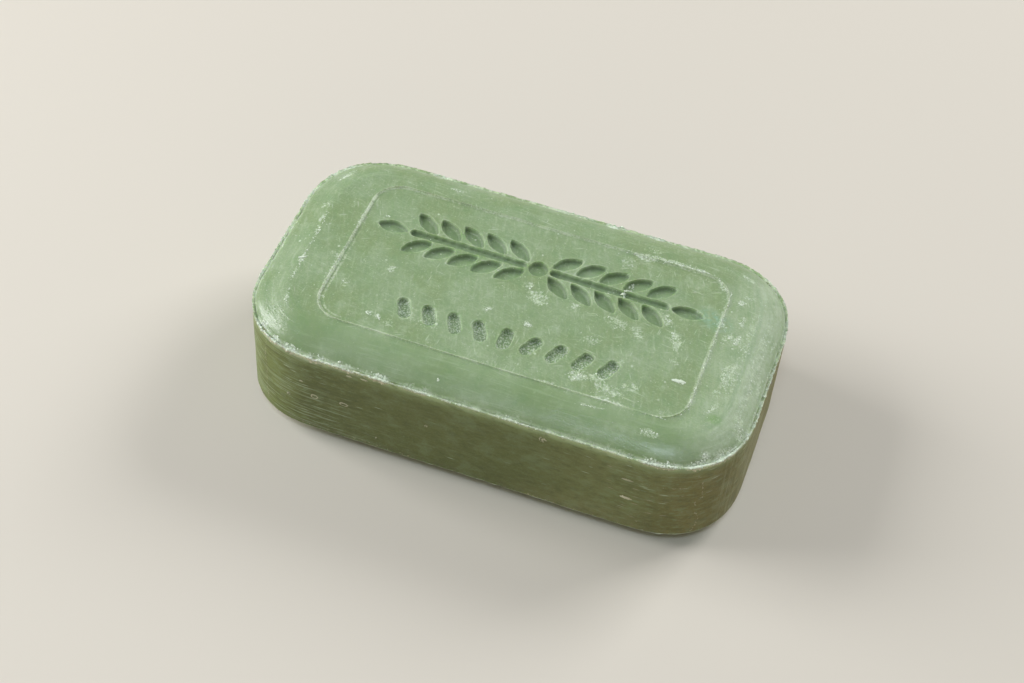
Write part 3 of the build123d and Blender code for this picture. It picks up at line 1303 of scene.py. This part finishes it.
    def dragged(self, colour):
        """Drag lines run level round the side, streaks run upright on the ends, and warm scuffs lie on the right."""
        level_drag = self.noise(0.42 * mm, 3, 0.6, stretch=(0.05, 0.05, 1))
        upright_drag = self.noise(0.6 * mm, 3, 0.6, stretch=(1, 1, 0.05))
        left_part = self.rise(self.across, -12 * mm, -26 * mm)
        mostly_left = self.most(left_part, self.times(self.outer_parts, 0.25))
        rubbed_right = self.times(self.rise(self.across, 19 * mm, 26 * mm), 0.6)
        rubbed_height = self.rise(self.high_up, lower_parting + 7 * mm, lower_parting + 13 * mm)
        rubbed = self.times(self.most(self.rise(self.across, -25 * mm, -31 * mm), rubbed_right), rubbed_height)
        drag_share = self.plus(0.05, self.times(rubbed, 0.42))
        long_drag = self.marks((3.6 * mm, 3.6 * mm, 0.46 * mm), drag_share, self.times(self.ragged, 0.5))
        fine_drag = self.times(self.rise(level_drag, 0.52, 0.66), self.rise(self.wide_cloud, 0.62, 0.40))
        self.level_lines = self.times(self.most(self.times(fine_drag, mostly_left, 0.5), long_drag), self.on_side)

        on_ends = self.rise(self.count("ABSOLUTE", self.across, 0), 43 * mm, 46.5 * mm)
        self.upright_lines = self.times(self.rise(upright_drag, 0.48, 0.66), on_ends, self.on_side)

        warm_zone = self.times(
            self.between(self.across, 20 * mm, 27 * mm, 38 * mm, 44 * mm),
            self.between(self.high_up, 5 * mm, 8 * mm, 17 * mm, 19.5 * mm),
        )
        warm_cell = (2.6 * mm, 2.6 * mm, 0.42 * mm)
        warm_scuff = self.marks(warm_cell, self.times(warm_zone, 0.32), self.times(self.ragged, 0.9))
        return self.coats(
            colour,
            (dark_olive, self.rise(level_drag, 0.48, 0.34), mostly_left, 0.50),
            (bloom_and_highlight, self.level_lines, 0.75),
            (dusty_pink, warm_scuff, 0.65),
            (bloom_and_highlight, self.upright_lines, 0.16),
            (dark_olive, self.rise(upright_drag, 0.48, 0.34), on_ends, 0.28),
        )

    def shoulder_wipes_and_painted_band(self, colour):
        """Wipe marks follow the shoulder round the bar. On the right shoulder lie a painted reflection band, streaky
        and patchy, and a painted shadow line along its inner edge.
        """
        on_shoulder = self.times(self.rise(self.inward, 8.5 * mm, 6 * mm), self.off_side)
        self.wiped = self.times(self.rise(self.wipe, 0.50, 0.70), on_shoulder)
        # Painted shadow: a dark line along the right shoulder, at the inner edge of the painted reflection band.
        groove = self.times(
            self.between(self.inward, 4.7 * mm, 5.2 * mm, 5.5 * mm, 6.0 * mm), self.right_shoulder
        )
        streaky = self.plus(0.22, self.times(self.rise(self.wipe, 0.40, 0.64), 0.26))
        patchy = self.plus(0.7, self.times(self.rise(self.scum, 0.40, 0.62), 0.6))
        # Painted reflection: the pale band on the right shoulder, broken into streaks and patches.
        painted_reflection = self.times(self.right_reflection_band, streaky, patchy)
        return self.coats(
            colour,
            (bloom_and_highlight, self.most(self.times(self.wiped, 0.20), painted_reflection)),
            (deep_green, groove, 0.35),
        )

    def scratched(self, colour):
        """Fine straight scratches on the upper face."""
        uneven = self.times(self.ragged, 1.1)
        drawn = self.most(*(
            self.marks((length * mm, width * mm, 0), share, uneven, turn=turn)
            for length, width, turn, share in scratch_kinds
        ))
        inside = self.rise(self.inward, 2.5 * mm, 7.5 * mm)
        self.scratches = self.times(drawn, self.off_side, inside, self.not_front)
        return self.coats(colour, (bloom_and_highlight, self.scratches, 0.60))

    def shaded_marks_and_lip(self, colour):
        """Pressed marks get painted shade, darker inside and darker still where the wall meets the floor, with a pale
        worn lip.
        """
        crease_shade = self.between(self.sunk, 0.20, 0.70, 0.85, 1.05)
        return self.coats(
            colour,
            # Painted shade: darker green in the pressed marks, darker still in their creases.
            (deep_green, self.sunk, 0.35),
            (crease_shade_colour, crease_shade, 0.50),
            (bloom_and_highlight, self.measured("raised"), self.rise(self.blotch, 0.40, 0.62), 0.55),
        )

    def panel_line(self, colour):
        """The worn line round the panel: pale on its ridge, doubled inside on the left."""
        inset = self.measured("from_panel")
        left_end = self.rise(self.across, -26 * mm, -33 * mm)
        ridge = self.times(self.between(inset, -0.50 * mm, -0.25 * mm, 0.18 * mm, 0.44 * mm), self.off_side)
        inner = self.times(self.between(inset, 0.45 * mm, 0.70 * mm, 0.80 * mm, 1.10 * mm), self.off_side)
        broken = self.rise(self.plus(self.times(self.blotch, 0.5), self.times(self.grit, 0.5)), 0.42, 0.57)
        more_on_left = self.plus(0.80, self.times(left_end, 0.45))
        ridge_line = self.times(ridge, self.plus(0.10, self.times(broken, 0.48)), more_on_left)
        inner_line = self.times(inner, broken, left_end, self.rise(self.deep, 6 * mm, -3 * mm), 0.65)
        return self.coats(colour, (pale_rim, self.most(ridge_line, inner_line)))

    def dried(self, colour):
        """Dried white: separate specks that thicken in the patches, smears, filled grains and the fin's crest."""
        fine_cell, coarse_cell = (0.40 * mm,) * 3, (0.95 * mm,) * 3
        fine_specks = self.marks(fine_cell, self.plus(0.07, self.times(self.dust, 0.60)), self.ragged)
        coarse_share = self.plus(0.035, self.times(self.dust, 0.45))
        coarse_specks = self.marks(coarse_cell, coarse_share, self.times(self.ragged, 1.2))
        dusty_part = self.times(self.most(self.not_front, self.dust), self.off_side)
        self.speckled = self.times(self.most(fine_specks, coarse_specks), dusty_part)

        cloud = self.plus(self.times(self.grit, 0.45), self.times(self.scum, 0.55))
        cover = self.plus(cloud, self.times(self.dust, 0.175))
        self.smear = self.times(self.rise(cover, 0.56, 0.70), dusty_part)

        in_grains = self.rise(self.deep, -5 * mm, -7 * mm)
        filled = self.times(self.sunk, in_grains, self.rise(self.grit, 0.46, 0.62))
        caked = self.rim_of_dried_soap()
        colour = self.coats(
            colour,
            (bloom_and_highlight, self.smear, 0.62),
            (dried_white, self.smear, self.dust, self.rise(self.grit, 0.46, 0.64), 0.55),
            (pale_rim, self.rim, 0.95),
        )
        self.white = self.most(
            self.times(self.speckled, 0.9), self.times(filled, 0.6), self.times(caked, 0.9), self.dry
        )
        return self.tint(self.white, colour, self.tint(self.on_side, dried_white, dried_beige))

    def rim_of_dried_soap(self):
        """Both fins are pale on top, and the upper one is caked where it crumbles."""
        on_upper = self.rise(self.high_up, upper_parting - 0.12 * mm, upper_parting + 0.06 * mm)
        on_lower = self.rise(self.high_up, lower_parting + 0.12 * mm, lower_parting - 0.06 * mm)
        by_edge = self.rise(self.inward, 0.95 * mm, 0.5 * mm)
        worn = self.rise(self.plus(self.scum, self.times(self.crumbly, 0.12)), 0.46, 0.58)
        on_rims = self.most(self.times(on_upper, by_edge), self.times(on_lower, by_edge))
        self.rim = self.times(on_rims, self.plus(0.22, self.times(worn, 0.66)))
        ragged_reach = self.plus(self.inward, self.times(self.less(self.scum, 0.5), 3.5 * mm))
        hanging_down = self.rise(self.high_up, upper_parting - 0.75 * mm, upper_parting - 0.35 * mm)
        near_crest = self.rise(ragged_reach, 1.0 * mm, 0.4 * mm)
        return self.times(near_crest, self.crumbly, self.rise(self.grit, 0.40, 0.54), hanging_down)

    def wax(self):
        """Waxy where it is rubbed, dull where it is dusted or scratched, and a little see-through."""
        dull = self.most(
            self.white,
            self.times(self.scratches, 0.5),
            self.smear,
            self.times(self.sunk, 0.5),
            self.times(self.on_side, 0.3),
            self.times(self.right_reflection_band, 0.7),
        )
        polished_front = self.times(self.rise(self.across, 2 * mm, 26 * mm), self.rise(self.deep, -21 * mm, -23 * mm))
        polished_corner = self.times(
            self.rise(self.across, -35 * mm, -39 * mm), self.rise(self.deep, -12 * mm, -15 * mm)
        )
        streaky = self.plus(0.45, self.times(self.rise(self.wipe, 0.40, 0.60), 0.55))
        polished = self.times(self.most(polished_front, polished_corner), self.off_side, streaky)
        smooth_blotch = self.times(self.rise(self.blotch, 0.45, 0.7), 0.08)
        roughness = self.less(0.45, self.most(smooth_blotch, self.times(self.front_shoulder, 0.12)))
        roughness = self.less(roughness, self.times(polished, 0.14))
        self.feed(self.shader.inputs["Roughness"], self.plus(roughness, self.times(dull, 0.32)))
        self.feed(self.shader.inputs["Subsurface Weight"], self.times(self.less(1.0, self.dry), 0.4))
        self.shader.inputs["Subsurface Radius"].default_value = (0.9, 1.3, 0.5)
        self.shader.inputs["Subsurface Scale"].default_value = 1.1 * mm

    def skin(self):
        """Heights in millimetres: skin, dents, drag marks, and what is caked on."""
        lines = self.most(self.level_lines, self.upright_lines, self.wiped)
        caked = self.most(self.speckled, self.times(self.rim, 0.8))
        height = self.plus(self.times(self.grit, 0.035), self.times(self.blotch, 0.12))
        height = self.plus(height, self.times(lines, 0.02))
        height = self.plus(height, self.times(caked, 0.05))
        self.feed(self.shader.inputs["Normal"], self.relief(height, 1 * mm))


def floor_finish():
    """Plain, pale and matt."""
    stone = Finish("pale floor")
    stone.shader.inputs["Base Color"].default_value = floor_colour
    stone.shader.inputs["Roughness"].default_value = floor_roughness
    return stone.material


def lay_floor():
    """The plain floor that the bar lies on."""
    bpy.ops.mesh.primitive_plane_add(size=floor_side, location=(0, 0, 0))
    floor = bpy.context.object
    floor.name = "floor"
    floor.data.materials.append(floor_finish())


def soft_lamp(name, azimuth, elevation, distance, size, power, colour):
    """A square soft lamp, turned to the bar."""
    lamp = bpy.data.lights.new(name, "AREA")
    lamp.size = size
    lamp.energy = power
    lamp.color = colour
    holder = bpy.data.objects.new(name, lamp)
    bpy.context.scene.collection.objects.link(holder)
    way = Vector((
        math.sin(math.radians(azimuth)) * math.cos(math.radians(elevation)),
        math.cos(math.radians(azimuth)) * math.cos(math.radians(elevation)),
        math.sin(math.radians(elevation)),
    ))
    holder.location = way * distance
    holder.rotation_euler = way.to_track_quat("Z", "Y").to_euler()


def light_studio():
    """Soft lamps on the left and behind on the right, a small cool one high in front, a weak warm one low there."""
    for name, values in lamps.items():
        soft_lamp(name, *values)
    world = bpy.data.worlds.new("studio")
    bpy.context.scene.world = world
    world.use_nodes = True
    background = world.node_tree.nodes["Background"]
    background.inputs["Color"].default_value = air_colour
    background.inputs["Strength"].default_value = air_strength


def place_camera():
    """The camera where the photograph was taken from, looking down on the bar from the front right."""
    azimuth = math.radians(15.93)
    elevation = math.radians(48.69)
    roll = math.radians(4.765)
    distance = 369.47 * mm
    shift_right = -0.748 * mm
    shift_up = 6.180 * mm
    back = Vector((
        math.sin(azimuth) * math.cos(elevation),
        -math.cos(azimuth) * math.cos(elevation),
        math.sin(elevation),
    ))
    level = (-back).cross(upwards).normalized()
    upright = level.cross(-back)
    right = level * math.cos(roll) + upright * math.sin(roll)
    up = upright * math.cos(roll) - level * math.sin(roll)
    camera = bpy.data.objects.new("camera", bpy.data.cameras.new("camera"))
    bpy.context.scene.collection.objects.link(camera)
    camera.data.sensor_width = 36
    camera.data.lens = 67.39
    camera.data.clip_start = 0.01
    turn = Matrix((right, up, back)).transposed().to_4x4()
    place = back * distance + right * shift_right + up * shift_up + Vector(level_up(lower_parting))
    camera.matrix_world = Matrix.Translation(place) @ turn
    bpy.context.scene.camera = camera


bar = model_bar()
break_up(bar)
litter(bar)
bpy.ops.object.select_all(action="DESELECT")
bar.select_set(True)
bpy.ops.object.shade_smooth_by_angle(angle=math.radians(50))
bar.data.materials.clear()
bar.data.materials.append(SoapFinish().material)

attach(bar, "root")
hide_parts("soap_bar")

lay_floor()
light_studio()
place_camera()
bpy.context.scene.view_settings.view_transform = "Standard"
